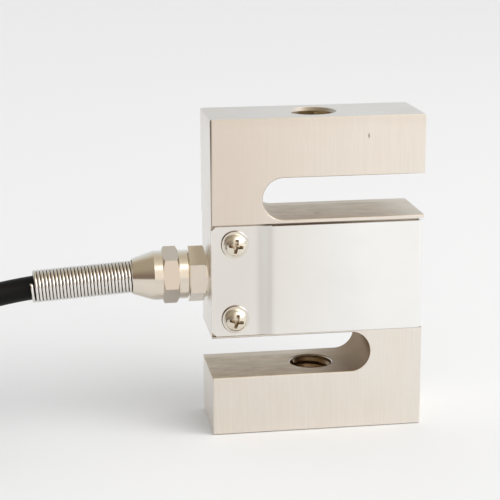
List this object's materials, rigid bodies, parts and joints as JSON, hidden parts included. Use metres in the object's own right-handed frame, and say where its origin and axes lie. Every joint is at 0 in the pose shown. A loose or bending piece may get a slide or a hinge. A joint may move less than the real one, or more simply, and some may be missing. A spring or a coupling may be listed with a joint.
{
  "type": "s type load cell",
  "caption": "S-shaped strain gauge load cell with a threaded hole through each arm, a wrapped cover over the gauge window, a cable gland with a spring relief and a tied lead.",
  "frame": {"origin": "where the common axis of the two threaded holes meets the bottom face of the lower arm", "axes": "+Z along the load axis from the lower arm to the upper arm, +X across the slots away from the cable gland, Y through the body's depth with the front at -Y"},
  "size_m": [0.2328, 0.051, 0.0762],
  "materials": {
    "nickel_plated_steel": "satin nickel over ground steel",
    "stainless_sheet": "polished",
    "screw_steel": "nickel plated",
    "nickel_plated_brass": "nickel plated, polished",
    "spring_wire": "bright wire",
    "cable_jacket": "matt PVC",
    "tie_nylon": "moulded nylon",
    "black_rubber": "moulded",
    "gauge_foil": "polyimide backed foil",
    "board_laminate": "printed board",
    "silicone": "poured",
    "core_red": "PVC",
    "core_black": "PVC",
    "core_green": "PVC",
    "core_white": "PVC",
    "tinned_copper": "tinned"
  },
  "bodies": {
    "root": {"spring_element": "nickel_plated_steel", "wrap_cover": "stainless_sheet", "strain_gauge_1": "gauge_foil", "strain_gauge_2": "gauge_foil", "strain_gauge_3": "gauge_foil", "strain_gauge_4": "gauge_foil", "terminal_board": "board_laminate", "front_potting": "silicone", "back_potting": "silicone", "core_lead_1": "core_red", "core_lead_2": "core_black", "core_lead_3": "core_green", "core_lead_4": "core_white", "gland_seat": "nickel_plated_brass", "gland_body": "nickel_plated_brass", "gland_cap": "nickel_plated_brass", "slip_washer": "nickel_plated_brass", "grip_sleeve": "black_rubber", "spring_relief": "spring_wire", "inner_cable": "cable_jacket", "cable_lead": "cable_jacket", "cable_hank": "cable_jacket", "hank_tie": "tie_nylon", "core_red": "core_red", "core_black": "core_black", "core_green": "core_green", "core_white": "core_white", "drain_wire": "tinned_copper", "cover_screw_1": "screw_steel", "cover_washer_1": "screw_steel", "cover_screw_2": "screw_steel", "cover_washer_2": "screw_steel", "cover_screw_3": "screw_steel", "cover_washer_3": "screw_steel", "cover_screw_4": "screw_steel", "cover_washer_4": "screw_steel"}
  },
  "joints": []
}
